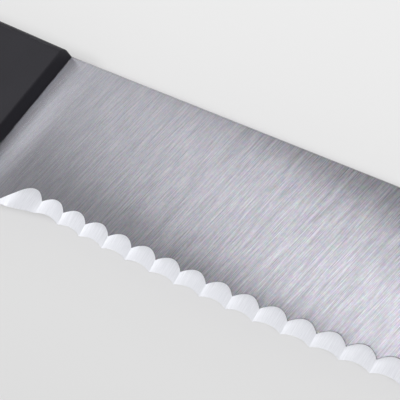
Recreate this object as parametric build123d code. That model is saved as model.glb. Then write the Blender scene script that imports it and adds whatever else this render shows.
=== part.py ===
from build123d import *
import os
from math import asin, atan, atan2, cos, degrees, hypot, sin, sqrt

# Full-tang bread knife, lying on its side.
# +X runs along the blade to the tip, +Y from the edge to the spine, +Z up out of the blade's side.
# The origin lies on the flat outer face of the lower handle scale, between two rivets.

# ---- handle (mm) ----
handle_length = 125.0       # scale front to butt
handle_height = 25.0        # at the scale front
waist_height = 21.5         # in the forefinger groove
palm_height = 25.0          # at the palm swell
neck_height = 21.0          # behind the palm swell
butt_height = 26.5          # across the hooked butt
waist_station = 22.0        # distances behind the scale front
palm_station = 62.0
neck_station = 98.0
butt_drop = 3.0             # how far the back of the handle falls at the butt
back_straight = 45.0        # length of the handle's back that runs on in line with the spine
butt_corner_radius = 7.0
back_slope = 0.16           # slopes of the outline where its curves meet, in mm per mm
belly_slope = 0.35
hook_slope = 0.4
scale_thickness = 5.6       # over the flat part of a scale
scale_front_thickness = 3.05
scale_taper_length = 70.0   # how far back the outer face starts to fall towards the blade
scale_edge_radius = 1.5
scale_front_radius = 0.4
rest_station = 79.0         # the origin's distance behind the scale front

# ---- rivets (mm) ----
rivet_stations = {"front": 24.0, "middle": 61.0, "rear": 98.0}
rivet_head_diameter = 8.0
rivet_head_thickness = 1.8
rivet_barrel_diameter = 5.0
rivet_pin_diameter = 3.2
rivet_barrel_clearance = 0.05   # radial, barrel in the scale and tang holes
rivet_head_clearance = 0.02     # radial, head in its counterbore
rivet_pin_clearance = 0.01      # radial, pin in the barrel
rivet_end_gap = 0.3             # barrel mouth to the pin's head

# ---- blade (mm) ----
blade_length = 205.0        # scale front to tip
blade_height = 31.3         # spine to cutting edge at the deepest point
tip_height = 21.1           # before the tip's corners are rounded
deepest_station = 57.4      # deepest point of the belly ahead of the scale front
spine_thickness = 1.8
edge_thickness = 0.72       # along the line of cusps, at its deepest point and at the tip
grind_start = 0.5           # tapered faces start this far ahead of the scale front
tip_spine_radius = 15.0
tip_edge_radius = 2.4
heel_drop = 33.35           # spine to the plain heel's lower line
heel_setback = 2.2          # heel's rear face ahead of the scale front
heel_corner_radius = 1.2
choil_radius = 1.6
blank_overlap = 1.0         # how far the blade's blank runs into the handle's outline

# ---- serration (mm) ----
scallop_pitch = 6.5
scallop_depth = 1.65        # rise of each scallop's outline on the face
bevel_run = 2.15            # how far the bevel reaches across the blade
bevel_drop = 0.60           # and how far it falls over that reach
first_cusp_station = 18.98  # first cusp ahead of the scale front
cutter_reach = 9.0          # half the length of a grinding cut
near = 0.01                 # how closely the limits of an edge are compared

# ---- derived ----
half_tang = spine_thickness / 2
half_edge = edge_thickness / 2
mid_z = scale_thickness + half_tang
front_x = rest_station
spine_y = handle_height / 2
tip_x = front_x + blade_length
heel_x = front_x + heel_setback
first_cusp_x = front_x + first_cusp_station
cusp_y = spine_y - (blade_height - bevel_run)       # deepest point of the line of cusps
belly_rise = blade_height - tip_height
belly_reach = blade_length - deepest_station
belly_radius = (belly_reach ** 2 + belly_rise ** 2) / (2 * belly_rise)
belly_x = front_x + deepest_station
belly_y = cusp_y + belly_radius                     # centre of the belly's arc
face_fall = (half_tang - half_edge) * belly_rise / (
    belly_rise * deepest_station + belly_reach * (spine_y - cusp_y)
)                                                   # of a blade face, per mm towards the tip
face_lean = face_fall * belly_reach / belly_rise    # and per mm towards the edge
bevel_angle = atan2(bevel_drop, bevel_run)
flute_depth = scallop_depth * sin(bevel_angle)
flute_radius = ((scallop_pitch / 2) ** 2 + flute_depth ** 2) / (2 * flute_depth)
taper_drop = scale_thickness - scale_front_thickness
taper_radius = (scale_taper_length ** 2 + taper_drop ** 2) / (2 * taper_drop)


def at_handle(back, down):
    """A point given by its distance behind the scale front and below the spine line."""
    return (front_x - back, spine_y - down)


def handle_outline():
    """Side outline of the handle, shared by the tang and both scales."""
    shoulder = handle_length - butt_corner_radius
    back = Line(at_handle(0, 0), at_handle(back_straight, 0))
    fall = Spline(back @ 1, at_handle(shoulder, butt_drop), tangents=[(-1, 0), (-1, -back_slope)])
    belly = Spline(
        at_handle(0, handle_height),
        at_handle(waist_station, waist_height),
        at_handle(palm_station, palm_height),
        at_handle(neck_station, neck_height + butt_drop),
        at_handle(shoulder, butt_height + butt_drop),
        tangents=[(-1, belly_slope), (-1, -hook_slope)],
    )
    butt = Spline(
        fall @ 1,
        at_handle(handle_length, butt_height / 2 + butt_drop),
        belly @ 1,
        tangents=[(-1, -back_slope), (1, hook_slope)],
    )
    front = Line(belly @ 0, back @ 0)
    return make_face([back, fall, butt, belly, front])


def prism(face, low, high):
    """A face in the XY plane, drawn out from one height to another."""
    return Pos(0, 0, low) * extrude(face, high - low)


def rectangle(x0, x1, y0, y1):
    """A flat rectangle between two pairs of limits."""
    return Pos((x0 + x1) / 2, (y0 + y1) / 2) * Rectangle(x1 - x0, y1 - y0)


def round_corner(face, x, y, radius):
    """A flat face with the corner nearest to a point rounded."""
    corner = min(face.vertices(), key=lambda v: hypot(v.X - x, v.Y - y))
    return face.fillet_2d(radius, [corner])


def blade_outline():
    """Side outline of the blade before the scallops are ground, with its heel and round tip."""
    spare = bevel_run + scallop_depth
    heel_y = spine_y - heel_drop
    belly = Pos(belly_x, belly_y) * Circle(belly_radius + spare)
    outline = rectangle(heel_x, tip_x, heel_y, spine_y) & belly
    outline += rectangle(heel_x, first_cusp_x - scallop_pitch / 2, heel_y, spine_y)
    outline += rectangle(front_x - blank_overlap, heel_x, -handle_height / 2, spine_y)
    face = round_corner(outline.face(), tip_x, spine_y, tip_spine_radius)
    face = round_corner(face, tip_x, spine_y - tip_height, tip_edge_radius)
    face = round_corner(face, heel_x, heel_y, heel_corner_radius)
    return round_corner(face, heel_x, -handle_height / 2, choil_radius)


def face_z(x, y):
    """Height of the blade's upper face, thinner towards the edge and towards the tip."""
    return mid_z + half_tang - face_fall * (x - front_x) - face_lean * (spine_y - y)


def taper_cut():
    """Everything above the blade's upper face, ahead of the handle."""
    start = front_x + grind_start
    face = Plane(
        origin=(start, 0, face_z(start, 0)),
        x_dir=(1, 0, -face_fall),
        z_dir=(face_fall, -face_lean, 1),
    )
    reach = 2 * blade_length
    above = face * Pos(0, 0, reach / 2) * Box(reach, reach, reach)
    ahead = Pos(start + reach / 2, 0, mid_z) * Box(reach, reach, reach)
    return above & ahead


def flute_frame(angle):
    """Where a scallop is ground: X along the edge, Y across the bevel, Z out of its surface.

    The frame's origin is the top of the scallop's outline on the blade's upper face.
    """
    radius = belly_radius - scallop_depth
    x = belly_x + radius * sin(angle)
    y = belly_y - radius * cos(angle)
    tilt = atan(face_lean) + bevel_angle
    return Pos(x, y, face_z(x, y)) * Rot(0, 0, degrees(angle)) * Rot(degrees(tilt), 0, 0)


def flute(angle):
    """The grinding wheel's path through one scallop."""
    wheel = Rot(90, 0, 0) * Cylinder(flute_radius, 2 * cutter_reach)
    return flute_frame(angle) * Pos(0, 0, flute_radius) * wheel


def run_out(angle):
    """Flat flank that carries the first scallop out to the plain heel."""
    slab = Pos(-cutter_reach, 0, cutter_reach / 2) * Box(2 * cutter_reach, 2 * cutter_reach, cutter_reach)
    start = Pos(-flute_radius * sin(bevel_angle), 0, flute_radius * (1 - cos(bevel_angle)))
    return flute_frame(angle) * start * Rot(0, degrees(bevel_angle), 0) * slab


def scallop_angles():
    """Directions of the scallops' middles along the belly, from the heel to the tip."""
    step = scallop_pitch / belly_radius
    first = asin((first_cusp_x - belly_x) / belly_radius) - step / 2
    last = asin((tip_x - belly_x) / belly_radius)
    return [first + i * step for i in range(int((last - first) / step) + 1)]


def make_blade():
    """Blade with its flat tang, tapered faces, scallops and rivet holes."""
    blank = prism(blade_outline(), mid_z - half_tang, mid_z + half_tang)
    blank -= taper_cut()
    blank -= flipped(taper_cut())
    blade = blank + prism(handle_outline(), mid_z - half_tang, mid_z + half_tang)
    angles = scallop_angles()
    for angle in angles:
        blade -= flute(angle)
    blade -= run_out(angles[0])
    for x, y in rivet_places():
        blade -= Pos(x, y, mid_z) * Cylinder(barrel_hole_radius(), 2 * spine_thickness)
    return blade


def rivet_places():
    """Centres of the rivets, half way across the handle's front height."""
    return [(front_x - station, 0) for station in rivet_stations.values()]


def barrel_hole_radius():
    """Radius of the hole that a rivet's barrel passes through."""
    return rivet_barrel_diameter / 2 + rivet_barrel_clearance


def outer_z(x):
    """Height of the lower scale's outer face over the rest plane."""
    along = max(0.0, x - (front_x - scale_taper_length))
    return taper_radius - sqrt(taper_radius ** 2 - along ** 2)


def scale_blank():
    """Lower scale before it is drilled: flat behind, falling to the blade in front, edges rounded."""
    solid = prism(handle_outline(), 0, scale_thickness)
    start = (front_x - scale_taper_length, 0)
    end = (front_x, taper_drop)
    arc = TangentArc(start, end, tangent=(1, 0))
    beyond = (front_x + handle_height, taper_drop)
    below = (front_x + handle_height, -handle_height)
    under = (front_x - scale_taper_length, -handle_height)
    section = make_face([arc, Line(end, beyond), Line(beyond, below), Line(below, under),
                         Line(under, start)])
    cut = extrude(Plane.XZ * section, 2 * handle_height, both=True)
    solid -= cut
    rim = [e for e in solid.edges() if is_rim(e)]
    solid = fillet(rim, scale_edge_radius)
    nose = [e for e in solid.edges() if is_nose(e)]
    return fillet(nose, scale_front_radius)


def is_rim(edge):
    """Whether an edge runs round the outer face of the lower scale, away from its front."""
    box = edge.bounding_box()
    across = box.size.X < near
    inner = box.min.Z > scale_thickness - near
    return not (across or inner)


def is_nose(edge):
    """Whether an edge lies across the outer corner of the lower scale's front face."""
    box = edge.bounding_box()
    inner = box.min.Z > scale_thickness - near
    return box.min.X > front_x - near and not inner and box.size.Y > near


def make_scale():
    """Lower scale with a counterbored hole at each rivet."""
    solid = scale_blank()
    head_radius = rivet_head_diameter / 2 + rivet_head_clearance
    for x, y in rivet_places():
        floor = outer_z(x) + rivet_head_thickness
        solid -= Pos(x, y, floor - scale_thickness / 2) * Cylinder(head_radius, scale_thickness)
        solid -= Pos(x, y, scale_thickness) * Cylinder(barrel_hole_radius(), 2 * scale_thickness)
    return solid


def rivet_head(x, y):
    """Rivet head ground off flush with the lower scale's outer face."""
    floor = outer_z(x) + rivet_head_thickness
    disc = Pos(x, y, floor - scale_thickness / 2) * Cylinder(rivet_head_diameter / 2, scale_thickness)
    return disc & scale_blank()


def flipped(shape):
    """The same piece on the other side of the tang."""
    return mirror(shape, Plane.XY.offset(mid_z))


def make_male(x, y):
    """Rivet half with a head in the lower scale and a plain pin."""
    floor = outer_z(x) + rivet_head_thickness
    length = 2 * (mid_z - floor) - rivet_end_gap
    pin = Pos(x, y, floor + length / 2) * Cylinder(rivet_pin_diameter / 2, length)
    return rivet_head(x, y) + pin


def make_female(x, y):
    """Rivet half with a head in the upper scale and a barrel that the pin fills."""
    floor = outer_z(x) + rivet_head_thickness
    length = 2 * (mid_z - floor) - rivet_end_gap
    bore = rivet_pin_diameter / 2 + rivet_pin_clearance
    barrel = Pos(x, y, floor + length / 2) * Cylinder(rivet_barrel_diameter / 2, length)
    barrel -= Pos(x, y, floor + length / 2) * Cylinder(bore, 2 * length)
    return flipped(rivet_head(x, y) + barrel)


def main():
    """Make every piece and write its file."""
    os.makedirs("parts", exist_ok=True)
    lower = make_scale()
    pieces = {"blade": make_blade(), "scale_lower": lower, "scale_upper": flipped(lower)}
    for name, (x, y) in zip(rivet_stations, rivet_places()):
        pieces[f"rivet_{name}_male"] = make_male(x, y)
        pieces[f"rivet_{name}_female"] = make_female(x, y)
    for name, shape in pieces.items():
        export_step(shape, f"parts/{name}.step")


main()
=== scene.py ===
"""Bread knife with a scalloped edge: the looks of the blade, handle scales and rivets.

The knife lies on its side on a pale table. Lengths in the fields are millimetres; meshes and lights
are in metres.
+X runs along the blade to the tip, +Y from the edge to the spine, +Z up out of the blade's side.
"""

from __future__ import annotations

import logging
import math
from dataclasses import dataclass, field
from enum import Enum

import bmesh
import bpy
import numpy as np
from mathutils import Matrix, Vector

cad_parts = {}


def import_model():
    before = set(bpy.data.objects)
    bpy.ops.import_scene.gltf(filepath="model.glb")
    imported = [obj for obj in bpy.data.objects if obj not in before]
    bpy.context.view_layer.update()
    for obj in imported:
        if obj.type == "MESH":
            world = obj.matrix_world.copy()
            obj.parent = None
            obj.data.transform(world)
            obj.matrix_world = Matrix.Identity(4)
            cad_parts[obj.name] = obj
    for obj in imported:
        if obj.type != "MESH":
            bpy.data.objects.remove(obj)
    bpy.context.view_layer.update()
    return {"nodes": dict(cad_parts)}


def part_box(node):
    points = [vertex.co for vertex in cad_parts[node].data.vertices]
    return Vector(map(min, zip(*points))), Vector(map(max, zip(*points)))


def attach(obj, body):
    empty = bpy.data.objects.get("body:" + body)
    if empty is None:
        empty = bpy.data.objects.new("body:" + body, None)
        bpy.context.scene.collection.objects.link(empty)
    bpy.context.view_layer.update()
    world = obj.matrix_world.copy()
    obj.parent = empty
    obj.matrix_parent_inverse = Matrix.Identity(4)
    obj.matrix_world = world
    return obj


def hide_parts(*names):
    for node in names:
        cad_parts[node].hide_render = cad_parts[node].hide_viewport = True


MM = 0.001
LOG = logging.getLogger("bread_knife")
Socket = bpy.types.NodeSocket
Colour = tuple[float, float, float]


# ---------------------------------------------------------------- finishes


class Finish(Enum):
    """Names of the finishes on the knife and on the table."""

    BRUSHED = "brushed_face"
    BEVEL = "ground_bevel"
    SPINE = "linished_spine"
    SCALE = "moulded_scale"
    RIVET = "faced_rivet"
    TABLE = "pale_table"


class Nodes:
    """A small helper that adds and links the nodes of one material."""

    def __init__(self, name: str) -> None:
        """Start an empty material.

        Args:
            name: The material's name.
        """
        self.material = bpy.data.materials.new(name)
        self.material.use_nodes = True
        self.tree = self.material.node_tree
        self.shader = self.tree.nodes["Principled BSDF"]

    def add(self, kind: str, **values: object) -> bpy.types.Node:
        """Add a node and set its properties and named inputs.

        Args:
            kind: The node's type name without the ShaderNode prefix.
            **values: Properties by name, or inputs by name with spaces written as underscores.

        Returns:
            The new node.
        """
        node = self.tree.nodes.new("ShaderNode" + kind)
        for key, value in values.items():
            if hasattr(node, key) and key not in node.inputs:
                setattr(node, key, value)
            else:
                node.inputs[key.replace("_", " ")].default_value = value
        return node

    def link(self, source: Socket, target: Socket) -> None:
        """Join an output socket to an input socket."""
        self.tree.links.new(source, target)

    def coordinates(self, stretch: tuple[float, float, float], turn: float = 0.0) -> Socket:
        """Object coordinates in millimetres, turned about Z and divided by a feature size.

        Args:
            stretch: The size of one pattern unit along each axis, in millimetres.
            turn: The pattern's turn about Z, in radians.

        Returns:
            The vector socket.
        """
        where = self.add("TexCoord")
        spin = self.add("Mapping", vector_type="POINT")
        spin.inputs["Rotation"].default_value = (0.0, 0.0, turn)
        self.link(where.outputs["Object"], spin.inputs["Vector"])
        squeeze = self.add("Mapping", vector_type="POINT")
        squeeze.inputs["Scale"].default_value = [1.0 / (MM * s) for s in stretch]
        self.link(spin.outputs["Vector"], squeeze.inputs["Vector"])
        return squeeze.outputs["Vector"]

    def noise(self, vector: Socket, detail: float = 2.0, rough: float = 0.5) -> Socket:
        """Cloudy noise with about one blob per unit of its coordinates.

        Args:
            vector: The coordinates.
            detail: The number of finer layers.
            rough: The share each finer layer keeps.

        Returns:
            The value socket, from 0 to 1.
        """
        node = self.add("TexNoise", Scale=1.0, Detail=detail, Roughness=rough)
        self.link(vector, node.inputs["Vector"])
        return node.outputs["Fac"]

    def ramp(self, value: Socket, low: float, high: float, out: tuple[float, float]) -> Socket:
        """Spread a value from one range to another, held at the ends.

        Args:
            value: The value socket.
            low: The value that gives the first output.
            high: The value that gives the second output.
            out: The two outputs.

        Returns:
            The result socket.
        """
        node = self.add("MapRange", clamp=True)
        node.inputs["From Min"].default_value = low
        node.inputs["From Max"].default_value = high
        node.inputs["To Min"].default_value = out[0]
        node.inputs["To Max"].default_value = out[1]
        self.link(value, node.inputs["Value"])
        return node.outputs["Result"]

    def spread(self, value: Socket, low: float = 0.25, high: float = 0.75) -> Socket:
        """Stretch a noise so that low becomes 0 and high becomes 1."""
        return self.ramp(value, low, high, (0.0, 1.0))

    def blend(
        self,
        share: Socket,
        first: Colour | Socket,
        second: Colour | Socket,
        way: str = "MIX",
    ) -> Socket:
        """Mix two colours.

        Args:
            share: How much of the second colour shows.
            first: A colour or a colour socket.
            second: A colour or a colour socket.
            way: How the second colour is laid on the first.

        Returns:
            The colour socket.
        """
        node = self.add("Mix", data_type="RGBA", blend_type=way)
        self.link(share, node.inputs[0])
        slots = [slot for slot in node.inputs if slot.type == "RGBA"]
        for slot, colour in zip(slots, (first, second)):
            if isinstance(colour, Socket):
                self.link(colour, slot)
            else:
                slot.default_value = (*colour, 1.0)
        return next(slot for slot in node.outputs if slot.type == "RGBA")

    def plus(self, first: Socket, second: Socket, share: float) -> Socket:
        """First value plus a share of the second.

        Args:
            first: A value socket.
            second: A value socket.
            share: What the second is multiplied by.

        Returns:
            The result socket.
        """
        node = self.add("Math", operation="MULTIPLY_ADD")
        self.link(second, node.inputs[0])
        node.inputs[1].default_value = share
        self.link(first, node.inputs[2])
        return node.outputs[0]

    def times(self, value: Socket, factor: Socket | float) -> Socket:
        """A value times a factor.

        Args:
            value: The value socket.
            factor: A number or a value socket.

        Returns:
            The result socket.
        """
        node = self.add("Math", operation="MULTIPLY")
        self.link(value, node.inputs[0])
        if isinstance(factor, Socket):
            self.link(factor, node.inputs[1])
        else:
            node.inputs[1].default_value = factor
        return node.outputs[0]

    def bump(self, height: Socket, depth: float, strength: float) -> None:
        """Raise the surface by a height pattern.

        Args:
            height: The height socket, from about 0 to 1.
            depth: The height that 1 stands for, in millimetres.
            strength: How much of the bump shows.
        """
        node = self.add("Bump", Strength=strength, Distance=depth * MM)
        self.link(height, node.inputs["Height"])
        self.link(node.outputs["Normal"], self.shader.inputs["Normal"])


@dataclass(frozen=True)
class BrushedSteel:
    """Satin steel whose fine belt marks run across the blade, with faint warm and cool specks.

    The marks fade towards the handle, where the steel is plainer.
    """

    grain_turn: float = math.radians(8.6)
    grain_size: tuple[float, float, float] = (0.10, 4.0, 5.0)
    streak_size: tuple[float, float, float] = (0.28, 9.0, 5.0)
    streak_limits: tuple[float, float] = (0.3, 0.7)
    streak_share: float = 0.25
    speckle_size: tuple[float, float, float] = (0.50, 0.60, 1.0)
    speckle: float = 0.26
    light: Colour = (0.70, 0.695, 0.76)
    dark: Colour = (0.30, 0.30, 0.335)
    tone_limits: tuple[float, float] = (0.15, 1.1)
    roughness: tuple[float, float] = (0.20, 0.26)
    rough_limits: tuple[float, float] = (0.2, 1.4)
    anisotropy: float = 0.95
    fade_limits: tuple[float, float] = (84.0, 150.0)
    faintest: float = 0.3
    plain_share: float = 0.60
    depth: float = 0.006
    relief: float = 0.3

    def make(self) -> bpy.types.Material:
        """Build the material.

        Returns:
            The finished material.
        """
        n = Nodes(Finish.BRUSHED.value)
        fine = n.noise(n.coordinates(self.grain_size, self.grain_turn), detail=2.0)
        streak = n.noise(n.coordinates(self.streak_size, self.grain_turn), detail=3.0, rough=0.6)
        tint = n.noise(n.coordinates(self.speckle_size, self.grain_turn), detail=1.0)
        marks = n.plus(n.spread(fine), n.spread(streak, *self.streak_limits), self.streak_share)
        place = n.add("SeparateXYZ")
        n.link(n.coordinates((1.0, 1.0, 1.0)), place.inputs[0])
        fade = n.ramp(place.outputs["X"], *self.fade_limits, (self.faintest, 1.0))
        marked = n.blend(n.spread(marks, *self.tone_limits), self.dark, self.light)
        plain = tuple(a + (b - a) * self.plain_share for a, b in zip(self.dark, self.light))
        colour = n.blend(fade, plain, marked)
        specks = tint.node.outputs["Color"]
        speckled = n.blend(n.times(fade, self.speckle), colour, specks, way="OVERLAY")
        n.link(speckled, n.shader.inputs["Base Color"])
        n.link(n.ramp(marks, *self.rough_limits, self.roughness), n.shader.inputs["Roughness"])
        n.shader.inputs["Metallic"].default_value = 1.0
        n.shader.inputs["Anisotropic"].default_value = self.anisotropy
        tangent = n.add("Tangent", direction_type="UV_MAP", uv_map="grain")
        n.link(tangent.outputs["Tangent"], n.shader.inputs["Tangent"])
        n.bump(n.times(marks, fade), self.depth, self.relief)
        return n.material


@dataclass(frozen=True)
class GroundBevel:
    """Bright wheel-ground bevel with fine marks that run down to the cutting edge."""

    mark_size: tuple[float, float, float] = (0.10, 3.0, 3.0)
    light: Colour = (0.82, 0.83, 0.87)
    dark: Colour = (0.66, 0.67, 0.71)
    roughness: float = 0.50
    depth: float = 0.003
    relief: float = 0.4

    def make(self) -> bpy.types.Material:
        """Build the material.

        Returns:
            The finished material.
        """
        n = Nodes(Finish.BEVEL.value)
        marks = n.spread(n.noise(n.coordinates(self.mark_size), detail=3.0, rough=0.6))
        n.link(n.blend(marks, self.dark, self.light), n.shader.inputs["Base Color"])
        n.shader.inputs["Metallic"].default_value = 1.0
        n.shader.inputs["Roughness"].default_value = self.roughness
        n.bump(marks, self.depth, self.relief)
        return n.material


@dataclass(frozen=True)
class LinishedSpine:
    """Narrow edges of the blade and tang, polished along their length."""

    mark_size: tuple[float, float, float] = (14.0, 0.12, 0.12)
    light: Colour = (0.62, 0.62, 0.63)
    dark: Colour = (0.48, 0.48, 0.49)
    roughness: tuple[float, float] = (0.28, 0.42)
    rough_limits: tuple[float, float] = (0.3, 0.7)
    depth: float = 0.004
    relief: float = 0.4

    def make(self) -> bpy.types.Material:
        """Build the material.

        Returns:
            The finished material.
        """
        n = Nodes(Finish.SPINE.value)
        marks = n.noise(n.coordinates(self.mark_size), detail=3.0, rough=0.6)
        n.link(n.blend(marks, self.dark, self.light), n.shader.inputs["Base Color"])
        n.link(n.ramp(marks, *self.rough_limits, self.roughness), n.shader.inputs["Roughness"])
        n.shader.inputs["Metallic"].default_value = 1.0
        n.bump(marks, self.depth, self.relief)
        return n.material


@dataclass(frozen=True)
class MouldedScale:
    """Matte black plastic with a fine spark-eroded texture."""

    grit_size: tuple[float, float, float] = (0.35, 0.35, 0.35)
    cloud_size: tuple[float, float, float] = (9.0, 9.0, 9.0)
    light: Colour = (0.020, 0.019, 0.026)
    dark: Colour = (0.013, 0.012, 0.017)
    roughness: tuple[float, float] = (0.42, 0.56)
    rough_limits: tuple[float, float] = (0.3, 0.7)
    specular: float = 0.4
    depth: float = 0.02
    relief: float = 0.25

    def make(self) -> bpy.types.Material:
        """Build the material.

        Returns:
            The finished material.
        """
        n = Nodes(Finish.SCALE.value)
        grit = n.noise(n.coordinates(self.grit_size), detail=4.0, rough=0.6)
        cloud = n.noise(n.coordinates(self.cloud_size), detail=2.0)
        n.link(n.blend(cloud, self.dark, self.light), n.shader.inputs["Base Color"])
        n.link(n.ramp(grit, *self.rough_limits, self.roughness), n.shader.inputs["Roughness"])
        n.shader.inputs["Specular IOR Level"].default_value = self.specular
        n.bump(grit, self.depth, self.relief)
        return n.material


@dataclass(frozen=True)
class FacedRivet:
    """Steel rivet head, ground flush with the scale so that it carries straight fine marks."""

    mark_size: tuple[float, float, float] = (9.0, 0.12, 0.5)
    mark_turn: float = math.radians(4.0)
    light: Colour = (0.66, 0.66, 0.67)
    dark: Colour = (0.50, 0.50, 0.51)
    roughness: tuple[float, float] = (0.24, 0.38)
    rough_limits: tuple[float, float] = (0.3, 0.7)
    depth: float = 0.004
    relief: float = 0.4

    def make(self) -> bpy.types.Material:
        """Build the material.

        Returns:
            The finished material.
        """
        n = Nodes(Finish.RIVET.value)
        marks = n.noise(n.coordinates(self.mark_size, self.mark_turn), detail=2.0)
        n.link(n.blend(marks, self.dark, self.light), n.shader.inputs["Base Color"])
        n.link(n.ramp(marks, *self.rough_limits, self.roughness), n.shader.inputs["Roughness"])
        n.shader.inputs["Metallic"].default_value = 1.0
        n.bump(marks, self.depth, self.relief)
        return n.material


@dataclass(frozen=True)
class PaleTable:
    """Plain pale table top of opal plastic that glows by its own emission: painted light, with no
    lamp below, that stands in for fill light so that shadows stay faint.

    It gets paler across the knife, over the reach either side of the handle's middle line: a painted
    light falloff, darker on the near side and lighter on the far side.
    """

    # Tones at the near and far side: the pale table plus a painted light falloff across it.
    near_shaded_tone: float = 0.698
    far_lit_tone: float = 0.868
    reach: float = 70.0
    # Share of the table's brightness that is painted glow: emission that stands in for fill light.
    painted_glow: float = 0.5
    roughness: float = 0.7

    def make(self) -> bpy.types.Material:
        """Build the material.

        Returns:
            The finished material.
        """
        n = Nodes(Finish.TABLE.value)
        place = n.add("SeparateXYZ")
        n.link(n.coordinates((1.0, 1.0, 1.0)), place.inputs[0])
        # Painted light falloff: darker on the near side, lighter on the far side.
        share = n.ramp(place.outputs["Y"], -self.reach, self.reach, (0.0, 1.0))
        share.node.interpolation_type = "SMOOTHSTEP"
        rest = 1.0 - self.painted_glow
        top = n.blend(share, self.grey(self.near_shaded_tone * rest), self.grey(self.far_lit_tone * rest))
        # Painted glow: emission in the table's own tones, with the painted falloff, standing in for fill
        # light; no lamp lies below.
        below = n.blend(share, self.grey(self.near_shaded_tone), self.grey(self.far_lit_tone))
        n.link(top, n.shader.inputs["Base Color"])
        n.link(below, n.shader.inputs["Emission Color"])
        n.shader.inputs["Emission Strength"].default_value = self.painted_glow
        n.shader.inputs["Roughness"].default_value = self.roughness
        return n.material

    @staticmethod
    def grey(tone: float) -> Colour:
        """A grey of one tone."""
        return (tone, tone, tone)


# ---------------------------------------------------------------- meshes


def make_grid(
    name: str,
    points: np.ndarray,
    slots: np.ndarray,
    finishes: list[bpy.types.Material],
) -> bpy.types.Object:
    """Make a closed sleeve from rings of points, with a flat cap at each end.

    Args:
        name: The piece's name.
        points: Points in metres, as an array of stations by ring points by 3.
        slots: The finish number of each strip between ring points.
        finishes: The finishes in order.

    Returns:
        The new object, at the origin.
    """
    stations, ring = points.shape[:2]
    i, j = np.meshgrid(np.arange(stations - 1), np.arange(ring), indexing="ij")
    k = (j + 1) % ring
    quads = np.stack([i * ring + j, (i + 1) * ring + j, (i + 1) * ring + k, i * ring + k], axis=-1)
    quads = quads.reshape(-1, 4)
    mesh = bpy.data.meshes.new(name)
    caps = [list(range(ring)), list(range(stations * ring - 1, (stations - 1) * ring - 1, -1))]
    mesh.from_pydata(points.reshape(-1, 3), [], quads.tolist() + caps)
    for finish in finishes:
        mesh.materials.append(finish)
    strip = np.tile(slots, stations - 1)
    mesh.polygons.foreach_set("material_index", np.append(strip, [slots[0]] * 2).astype(np.int32))
    piece = bpy.data.objects.new(name, mesh)
    bpy.context.scene.collection.objects.link(piece)
    return piece


def add_grain_map(mesh: bpy.types.Mesh, turn: float, density: float = 100.0) -> None:
    """Give a mesh a flat UV map: U square to the brush marks and V along them.

    Args:
        mesh: The mesh.
        turn: How far the marks lean from the Y axis towards +X, in radians.
        density: The number of map units in a metre.
    """
    spots = np.empty(len(mesh.vertices) * 3, np.float32)
    mesh.vertices.foreach_get("co", spots)
    corners = np.empty(len(mesh.loops), np.int32)
    mesh.loops.foreach_get("vertex_index", corners)
    xy = spots.reshape(-1, 3)[corners, :2] * density
    across = xy[:, 0] * math.cos(turn) - xy[:, 1] * math.sin(turn)
    along = xy[:, 0] * math.sin(turn) + xy[:, 1] * math.cos(turn)
    layer = mesh.uv_layers.new(name="grain")
    layer.data.foreach_set("uv", np.stack([across, along], axis=-1).ravel())


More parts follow.
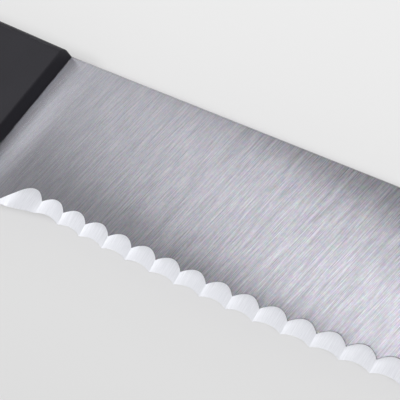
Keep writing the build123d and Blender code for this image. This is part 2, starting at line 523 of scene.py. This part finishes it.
@dataclass
class Blade:
    """Blade and tang: tapered, slightly crowned faces and single-bevel scallops.

    The line of cusps is an arc of the belly's radius. Places along the edge are directions from
    that arc's centre, and places across it are insets, positive towards the spine. The land is the
    edge's least thickness and the ease is the radius of the spine's corners. The taper comes in over
    the run-in, and the rings, square at heel and tip, turn radial over the settling length.
    """

    finishes: dict[Finish, bpy.types.Material]
    node: bpy.types.Object
    scallop_pitch: float = 6.5
    scallop_depth: float = 1.52
    bevel_run: float = 2.15
    tooth_run: float = 2.3
    bevel_drop: float = 0.60
    first_cusp: float = 18.98
    deepest: float = 57.4
    blade_height: float = 31.3
    tip_height: float = 21.1
    edge_thickness: float = 0.72
    heel_setback: float = 2.2
    heel_corner: float = 1.2
    choil: float = 1.6
    tip_corner: float = 15.0
    tip_edge_corner: float = 2.4
    edge_share: float = 0.45
    ramp_slope: float = 1.08
    ramp_reach: float = 9.5
    least_steep: float = 0.55
    steep_gain: float = 0.4
    land: float = 0.07
    ease: float = 0.16
    nick: float = 0.096
    nick_share: float = 0.3125
    crown: float = 0.056
    run_in: float = 9.0
    settle: float = 6.0
    end_gap: float = 0.02
    tang_merge: float = 0.001
    blade_merge: float = 0.002
    speck: float = 0.0001
    sharp: float = math.radians(5.0)
    samples: int = 40
    corner_steps: int = 9
    neck_steps: int = 5
    heel_steps: int = 12
    ramp_steps: int = 60
    tip_steps: int = 14
    face_rows: int = 19
    bevel_rows: tuple[float, ...] = (0.34, 0.67, 1.0)
    ease_turns: tuple[float, ...] = (0.0, 30.0, 60.0)
    front: float = field(init=False)
    tip: float = field(init=False)
    spine: float = field(init=False)
    heel_line: float = field(init=False)
    handle_line: float = field(init=False)
    middle: float = field(init=False)
    half: float = field(init=False)
    radius: float = field(init=False)
    centre_x: float = field(init=False)
    centre_y: float = field(init=False)
    fall: float = field(init=False)
    lean: float = field(init=False)
    bevel: float = field(init=False)
    flute_radius: float = field(init=False)
    step: float = field(init=False)
    first: float = field(init=False)
    last: float = field(init=False)

    def __post_init__(self) -> None:
        """Read the blade's place from the frame and work out the belly, taper and flutes."""
        low, high = (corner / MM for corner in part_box("blade"))
        _, scale_high = (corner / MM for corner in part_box("scale_upper"))
        self.front, self.tip, self.spine = scale_high.x, high.x, high.y
        self.heel_line = low.y
        self.handle_line = -self.spine
        self.middle, self.half = (low.z + high.z) / 2, (high.z - low.z) / 2
        rise = self.blade_height - self.tip_height
        reach = self.tip - self.front - self.deepest
        self.radius = (reach ** 2 + rise ** 2) / (2 * rise)
        self.centre_x = self.front + self.deepest
        self.centre_y = self.spine - (self.blade_height - self.bevel_run) + self.radius
        depth = self.blade_height - self.bevel_run
        thin = self.half - self.edge_thickness / 2
        self.fall = thin * rise / (rise * self.deepest + reach * depth)
        self.lean = self.fall * reach / rise
        self.bevel = math.atan2(self.bevel_drop, self.bevel_run)
        flute = self.scallop_depth * math.sin(self.bevel)
        self.flute_radius = ((self.scallop_pitch / 2) ** 2 + flute ** 2) / (2 * flute)
        self.step = self.scallop_pitch / self.radius
        cusp = (self.front + self.first_cusp - self.centre_x) / self.radius
        self.first = math.asin(cusp) - self.step / 2
        self.last = math.asin((self.tip - self.centre_x) / self.radius)

    def half_thickness(self, x: np.ndarray, y: np.ndarray, share: np.ndarray | float) -> np.ndarray:
        """Half the blade's thickness: a plane that falls towards edge and tip, crowned at both sides.

        The plane starts at the tang's own thickness at the scale front and comes in smoothly over a
        short run. The crown takes off the fourth power of the distance from mid width.

        Args:
            x: Distance along the blade.
            y: Distance across the blade.
            share: Place across the face, from 0 at the spine to 1 at the scallops.

        Returns:
            Half thicknesses.
        """
        plane = self.fall * (x - self.front) + self.lean * (self.spine - y)
        start = np.clip((x - self.front) / self.run_in, 0.0, 1.0)
        start = start * start * (3 - 2 * start)
        crown = self.crown * (2 * np.clip(share, 0.0, 1.0) - 1) ** 4
        return self.half - start * (plane + crown)

    def face_limit(self, angle: np.ndarray) -> np.ndarray:
        """How far inside the line of cusps the face ends, at each direction from the belly's centre.

        Each scallop is a shallow round flute cut at the bevel's angle, so the face's outline rises
        by the flute's depth divided by the sine of that angle. Behind the first scallop the outline
        runs on as a straight ramp down to the heel.

        Args:
            angle: Directions from the belly's centre, in radians.

        Returns:
            Distances in millimetres, positive towards the spine.
        """
        index = np.maximum(np.round((angle - self.first) / self.step), 0)
        across = (angle - self.first - index * self.step) * self.radius
        bend = np.maximum(across, -self.scallop_pitch / 2)
        rise = self.flute_radius - np.sqrt(self.flute_radius ** 2 - bend ** 2)
        return self.scallop_depth - rise / math.sin(self.bevel) - self.ramp_slope * (bend - across)

    def stations(self) -> tuple[np.ndarray, np.ndarray, np.ndarray]:
        """Places along the blade, denser on curves, with the blank's lower line at each.

        The line runs level along the neck, down a quarter circle into the choil, round the heel's
        corner and straight to the first tooth. Under the scallops, which are at equal steps of
        direction, it lies far below, and at the tip it follows the corner's circle.

        Returns:
            Distances along the blade, lower limits of the blank, and shares of radial lean.
        """
        heel = self.front + self.heel_setback
        quarter = np.linspace(0, math.pi / 2, self.corner_steps)
        neck_x = np.linspace(self.front, heel - self.choil, self.neck_steps)[:-1]
        neck_y = np.full(len(neck_x), self.handle_line)
        choil_x = heel - self.choil + self.choil * np.sin(quarter)
        choil_y = self.handle_line - self.choil + self.choil * np.cos(quarter)
        corner_x = heel + self.heel_corner * (1 - np.cos(quarter))
        corner_y = self.heel_line + self.heel_corner * (1 - np.sin(quarter))

        corner = heel + self.heel_corner
        ramp_start = self.centre_x + self.radius * math.sin(self.first) - self.ramp_reach
        plain_x = np.linspace(corner, ramp_start, self.heel_steps)[1:-1]
        ramp_end = self.centre_x + self.radius * math.sin(self.first - self.step / 2)
        ramp_x = np.linspace(ramp_start, ramp_end, self.ramp_steps)[:-1]

        cuts = np.arange(self.first - self.step / 2, self.last, self.step / self.samples)
        cut_x = self.centre_x + self.radius * np.sin(cuts)
        cut_x = cut_x[cut_x < self.tip - self.end_gap]
        tip_quarter = np.sin(np.linspace(0, math.pi / 2, self.tip_steps))
        end_x = self.tip - self.tip_edge_corner * (1 - tip_quarter)
        cut_x = np.unique(np.round(np.concatenate([cut_x, end_x[1:]]), decimals=5))

        cusp_x = self.front + self.first_cusp
        cusp_angle = math.asin((cusp_x - self.centre_x) / self.radius)
        tooth_y = self.centre_y - (self.radius + self.tooth_run) * math.cos(cusp_angle)
        slope = (tooth_y - self.heel_line) / (cusp_x - corner)
        ahead_x = np.concatenate([plain_x, ramp_x, cut_x])
        floor = np.where(ahead_x < cusp_x, self.heel_line + slope * (ahead_x - corner), -self.radius)
        corner_mid = self.tip - self.tip_edge_corner
        inner = self.radius + self.tooth_run - self.tip_edge_corner
        drop = math.sqrt(inner ** 2 - (corner_mid - self.centre_x) ** 2)
        over = np.clip(cut_x - corner_mid, 0, self.tip_edge_corner)
        round_y = self.centre_y - drop - np.sqrt(self.tip_edge_corner ** 2 - over ** 2)
        floor[-len(cut_x):] = np.where(cut_x > corner_mid, round_y, floor[-len(cut_x):])

        x = np.concatenate([neck_x, choil_x, corner_x, ahead_x])
        lower = np.concatenate([neck_y, choil_y, corner_y, floor])
        heel_blend = np.clip((x - ramp_start) / self.settle, 0, 1)
        tip_blend = np.clip((self.tip - x) / self.settle, 0, 1)
        return x, lower, heel_blend * tip_blend

    def rings(self) -> tuple[np.ndarray, list[Finish]]:
        """Work out every ring of points round the blade.

        At each station a ring runs down the upper face from the spine to the scallop's outline,
        down the bevel to the cutting edge, back up the plain lower face, and round the spine. Points
        on a face are spaced as a cosine and lie half a thickness from the middle plane, and the
        bevel falls evenly from the upper face to the edge. The edge is as thick as the bevel leaves
        it: the blade's thickness less the bevel's run times its slope, and never less than the land.
        Each corner of the edge loses a nick, at most a share of that thickness, and the spine's
        corners are round.

        Returns:
            Points in millimetres, stations by ring points by 3, and each strip's finish.
        """
        x, lower, radial = self.stations()
        angle = np.arcsin(np.clip((x - self.centre_x) / self.radius, -1, 1))
        cusp_y = self.centre_y - self.radius * np.cos(angle)
        swing = angle * radial
        ux, uy = -np.sin(swing), np.cos(swing)
        blank = (lower - cusp_y) / uy
        over = np.clip(x - (self.tip - self.tip_corner), 0, self.tip_corner)
        top_y = self.spine - self.tip_corner + np.sqrt(self.tip_corner ** 2 - over ** 2)

        def place(inset: np.ndarray) -> tuple[np.ndarray, np.ndarray]:
            """Find where each station's inset from the line of cusps lies along and across."""
            return np.minimum(x + inset * ux, self.tip), cusp_y + inset * uy

        rows: list[np.ndarray] = []
        strips: list[Finish] = []

        def row(rx: np.ndarray, ry: np.ndarray, rz: np.ndarray, finish: Finish) -> None:
            """Add one point to every ring, with the finish of the strip from it to the next."""
            rows.append(np.stack([rx, ry, rz], axis=-1))
            strips.append(finish)

        limit = np.maximum(self.face_limit(angle), blank)
        toothed = x >= self.front + self.first_cusp
        edge = np.where(toothed, self.edge_share * limit - self.tooth_run, blank)
        edge = np.maximum(edge, blank)
        ramp_share = 1.0 + self.steep_gain * (angle - self.first) / self.step
        steep = math.tan(self.bevel) * np.clip(ramp_share, self.least_steep, 1.0)
        ex, ey = place(edge)
        half_edge = self.half_thickness(ex, ey, 1.0)
        wall = np.maximum(2 * half_edge - (limit - edge) * steep, self.land)
        nick = np.minimum(self.nick, wall * self.nick_share)
        limit = np.maximum(limit, edge + nick)
        stop = edge + nick

        fx, fy = place(limit)
        sy = top_y - self.ease
        spread = 0.5 - 0.5 * np.cos(np.linspace(0, math.pi, self.face_rows))
        for share in spread:
            rx, ry = x + (fx - x) * share, sy + (fy - sy) * share
            row(rx, ry, self.middle + self.half_thickness(rx, ry, share), Finish.BRUSHED)
        strips[-1] = Finish.BEVEL
        top_z, low_z = self.middle + self.half_thickness(fx, fy, 1.0), self.middle - half_edge + wall
        for share in self.bevel_rows:
            inset = limit + (stop - limit) * share
            height = low_z + (top_z - low_z) * (inset - edge) / (limit - edge)
            row(*place(inset), height, Finish.BEVEL)
        row(ex, ey, low_z - nick * 0.5, Finish.SPINE)
        row(ex, ey, self.middle - half_edge + nick, Finish.SPINE)

        bx, by = place(stop)
        for share in spread[::-2]:
            rx, ry = x + (bx - x) * share, sy + (by - sy) * share
            row(rx, ry, self.middle - self.half_thickness(rx, ry, share), Finish.BRUSHED)
        strips[-1] = Finish.SPINE
        spine_half = self.half_thickness(x, top_y, 0.0)
        for side, turns in ((-1, self.ease_turns[::-1]), (1, self.ease_turns)):
            for turn in np.radians(turns):
                out, back = self.ease * math.cos(turn), self.ease * (1 - math.sin(turn))
                row(x, sy + out, self.middle + side * (spine_half - back), Finish.SPINE)
        return np.stack(rows, axis=1), strips

    def tang(self) -> bpy.types.Mesh:
        """Copy the part of the frame's blade that lies behind the scale front.

        The copy's loose triangles are merged, cut square at the scale front and capped there.

        Returns:
            A closed mesh of the tang.
        """
        work = bmesh.new()
        work.from_mesh(self.node.data)
        bmesh.ops.remove_doubles(work, verts=work.verts, dist=self.tang_merge * MM)
        cut = bmesh.ops.bisect_plane(
            work,
            geom=[*work.verts, *work.edges, *work.faces],
            plane_co=(self.front * MM, 0, 0),
            plane_no=(1, 0, 0),
            clear_outer=True,
        )
        rim = [g for g in cut["geom_cut"] if isinstance(g, bmesh.types.BMEdge)]
        bmesh.ops.holes_fill(work, edges=rim, sides=0)
        mesh = bpy.data.meshes.new("tang")
        work.to_mesh(mesh)
        work.free()
        return mesh

    def build(self) -> bpy.types.Object:
        """Make the blade and tang as one piece.

        Returns:
            The finished piece.
        """
        points, strips = self.rings()
        order = [Finish.BRUSHED, Finish.BEVEL, Finish.SPINE]
        slots = np.array([order.index(finish) for finish in strips])
        piece = make_grid("knife_blade", points * MM, slots, [self.finishes[f] for f in order])
        work = bmesh.new()
        work.from_mesh(piece.data)
        bmesh.ops.remove_doubles(work, verts=work.verts, dist=self.blade_merge * MM)
        bmesh.ops.dissolve_degenerate(work, edges=work.edges, dist=self.speck * MM)
        bmesh.ops.recalc_face_normals(work, faces=work.faces)
        tang = self.tang()
        seen = len(work.faces)
        work.from_mesh(tang)
        work.faces.ensure_lookup_table()
        for face in work.faces[seen:]:
            face.material_index = order.index(Finish.SPINE)
        work.to_mesh(piece.data)
        work.free()
        bpy.data.meshes.remove(tang)
        piece.data.shade_smooth()
        piece.data.set_sharp_from_angle(angle=self.sharp)
        add_grain_map(piece.data, BrushedSteel.grain_turn)
        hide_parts("blade")
        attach(piece, "root")
        return piece


@dataclass
class Handle:
    """Two black scales and three two-piece rivets, whose shapes the frame already holds."""

    finishes: dict[Finish, bpy.types.Material]
    nodes: dict[str, bpy.types.Object]

    def dress(self) -> list[bpy.types.Object]:
        """Give the scales and rivets their finishes.

        Returns:
            The dressed pieces.
        """
        dressed = []
        for name, node in self.nodes.items():
            if name.startswith(("scale_", "rivet_")):
                finish = Finish.SCALE if name.startswith("scale_") else Finish.RIVET
                node.data.materials.clear()
                node.data.materials.append(self.finishes[finish])
                dressed.append(node)
        return dressed


# ---------------------------------------------------------------- the room


@dataclass
class Studio:
    """Pale table, soft lights and the camera, set round the blade."""

    finishes: dict[Finish, bpy.types.Material]
    target: tuple[float, float, float] = (130.23, -3.48, 7.08)
    azimuth: float = 70.34
    elevation: float = 42.30
    roll: float = 38.23
    distance: float = 377.5
    sensor: float = 36.0
    lens: float = 198.0
    near_clip: float = 10.0
    sky: float = 0.37
    table_reach: float = 4000.0
    table_gap: float = 0.05

    def table(self) -> bpy.types.Object:
        """Make the table top that the knife lies on.

        Returns:
            The table.
        """
        reach, low = self.table_reach * MM, -self.table_gap * MM
        mesh = bpy.data.meshes.new("table_top")
        spots = [(-reach, -reach, low), (reach, -reach, low), (reach, reach, low), (-reach, reach, low)]
        mesh.from_pydata(spots, [], [(0, 1, 2, 3)])
        mesh.materials.append(self.finishes[Finish.TABLE])
        table = bpy.data.objects.new("table_top", mesh)
        bpy.context.scene.collection.objects.link(table)
        return table

    def soft_light(
        self,
        name: str,
        toward: tuple[float, float, float],
        size: tuple[float, float],
        radiance: float,
        away: float = 1.6,
        shadows: bool = True,
    ) -> bpy.types.Object:
        """Hang a rectangular soft light that faces the blade.

        Args:
            name: The light's name.
            toward: The direction from the blade to the light.
            size: Its two sides in metres, the first square to the brush marks.
            radiance: How bright its surface looks.
            away: Its distance from the blade in metres.
            shadows: Whether it casts shadows.

        Returns:
            The light.
        """
        data = bpy.data.lights.new(name, "AREA")
        data.shape = "RECTANGLE"
        data.size, data.size_y = size
        data.use_shadow = shadows
        data.cycles.use_multiple_importance_sampling = shadows
        data.energy = radiance * math.pi * size[0] * size[1]
        light = bpy.data.objects.new(name, data)
        bpy.context.scene.collection.objects.link(light)
        back = Vector(toward).normalized()
        lean = BrushedSteel.grain_turn
        side = Vector((math.sin(lean), math.cos(lean), 0)).cross(back).normalized()
        turn = Matrix((side, back.cross(side), back)).transposed().to_4x4()
        place = Vector(self.target) * MM + back * away
        light.matrix_world = Matrix.Translation(place) @ turn
        return light

    def lights(self) -> None:
        """Set the lights and the plain sky."""
        world = bpy.data.worlds.new("studio")
        bpy.context.scene.world = world
        world.use_nodes = True
        sky = world.node_tree.nodes["Background"]
        sky.inputs["Color"].default_value = (1.0, 1.0, 1.0, 1.0)
        sky.inputs["Strength"].default_value = self.sky
        self.soft_light("bevel_light", (-0.66, -0.36, 0.66), size=(1.8, 1.0), radiance=1.34, shadows=False)
        self.soft_light("face_light", (-0.38, 0.198, 0.91), size=(1.1, 0.15), radiance=1.9, shadows=False)
        self.soft_light("table_light", (0.10, -0.40, 0.91), size=(0.50, 0.25), radiance=16.0, away=1.2)
        self.soft_light("far_light", (0.10, 0.88, 0.47), size=(1.6, 0.6), radiance=0.68)

    def camera(self) -> bpy.types.Object:
        """Aim the camera at the target from the given azimuth and elevation, and roll it.

        Returns:
            The camera.
        """
        data = bpy.data.cameras.new("camera")
        data.lens, data.sensor_width, data.clip_start = self.lens, self.sensor, self.near_clip * MM
        camera = bpy.data.objects.new("camera", data)
        bpy.context.scene.collection.objects.link(camera)
        az, el, roll = (math.radians(a) for a in (self.azimuth, self.elevation, self.roll))
        back = Vector((math.sin(az) * math.cos(el), -math.cos(az) * math.cos(el), math.sin(el)))
        level = Vector((0, 0, 1)).cross(back).normalized()
        rise = back.cross(level)
        right = level * math.cos(roll) - rise * math.sin(roll)
        up = level * math.sin(roll) + rise * math.cos(roll)
        turn = Matrix((right, up, back)).transposed().to_4x4()
        place = (Vector(self.target) + back * self.distance) * MM
        camera.matrix_world = Matrix.Translation(place) @ turn
        bpy.context.scene.camera = camera
        return camera


def main() -> None:
    """Build the knife and its studio, and report each piece."""
    logging.basicConfig(level=logging.INFO, format="%(name)s: %(message)s")
    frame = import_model()
    makers = (BrushedSteel(), GroundBevel(), LinishedSpine(), MouldedScale(), FacedRivet(), PaleTable())
    finishes = {Finish(m.name): m for m in (maker.make() for maker in makers)}
    blade = Blade(finishes, frame["nodes"]["blade"]).build()
    LOG.info("%s: %d faces", blade.name, len(blade.data.polygons))
    for piece in Handle(finishes, frame["nodes"]).dress():
        LOG.info("%s: %d faces", piece.name, len(piece.data.polygons))
    studio = Studio(finishes)
    studio.table()
    studio.lights()
    studio.camera()
    bpy.context.scene.view_settings.view_transform = "Standard"


if __name__ == "__main__":
    main()
